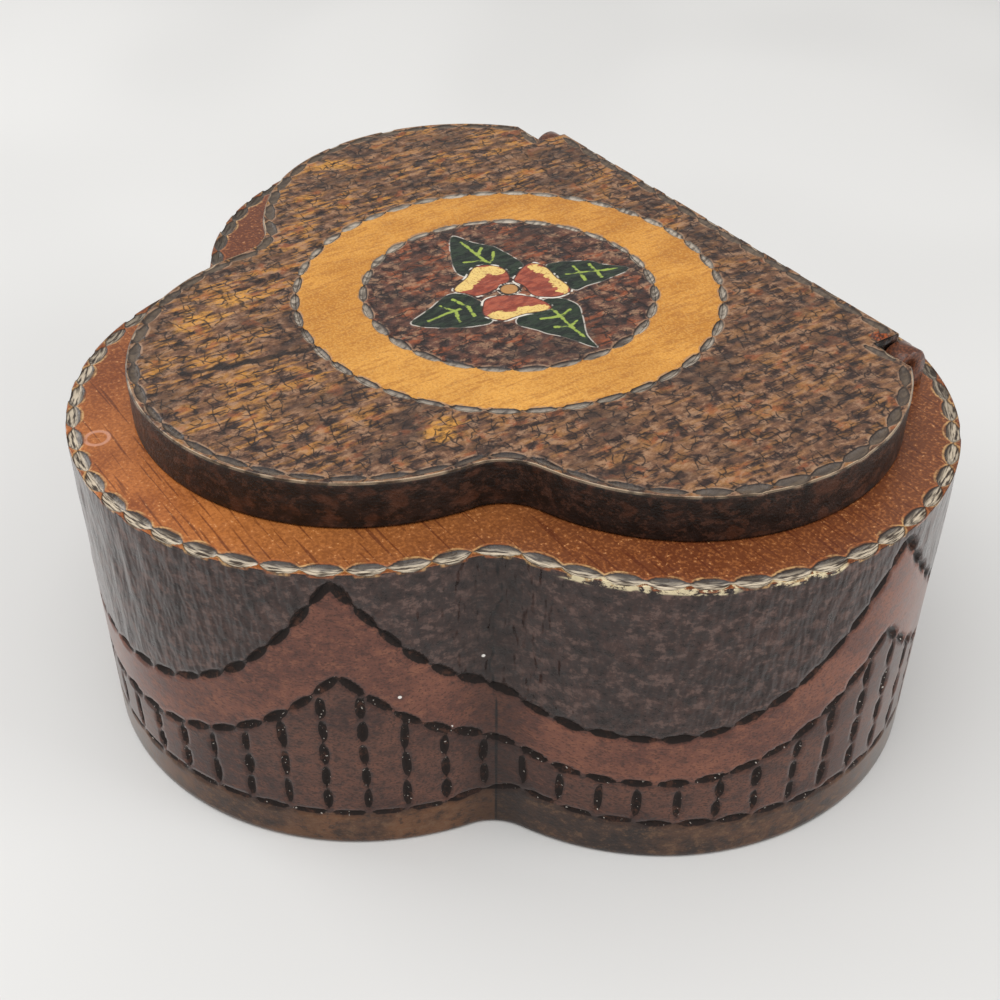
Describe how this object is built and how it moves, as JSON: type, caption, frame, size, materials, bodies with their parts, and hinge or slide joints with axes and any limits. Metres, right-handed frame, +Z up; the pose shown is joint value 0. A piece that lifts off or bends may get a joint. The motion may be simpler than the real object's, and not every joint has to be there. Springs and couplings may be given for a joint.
{
  "type": "three-lobed wooden trinket box with hinged lid",
  "caption": "Low wooden trinket box with a three-lobed, heart-like plan, thick walls, gouge-carved swags and rims, and a hinged lid with a round painted medallion.",
  "frame": {"origin": "under the middle of the box's plan, on the surface it stands on", "axes": "+Z up, +X to the right along the hinge line, +Y towards the straight back where the hinge is; the single lobe faces -Y"},
  "size_m": [0.163, 0.1396, 0.0702],
  "materials": {
    "body_wood": "stained and varnished, carved",
    "lid_wood": "scorched, varnished, hammered with a gouge, painted flower",
    "pin": "dull wire"
  },
  "bodies": {
    "box": {"body": "body_wood", "hinge_pin_left": "pin", "hinge_pin_right": "pin"},
    "lid": {"lid": "lid_wood"}
  },
  "joints": [
    {"name": "lid_hinge", "type": "hinge", "parent": "box", "child": "lid", "pos_m": [0, 0.05664, 0.0659], "axis": [-1, 0, 0], "range_deg": [0, 95]}
  ]
}
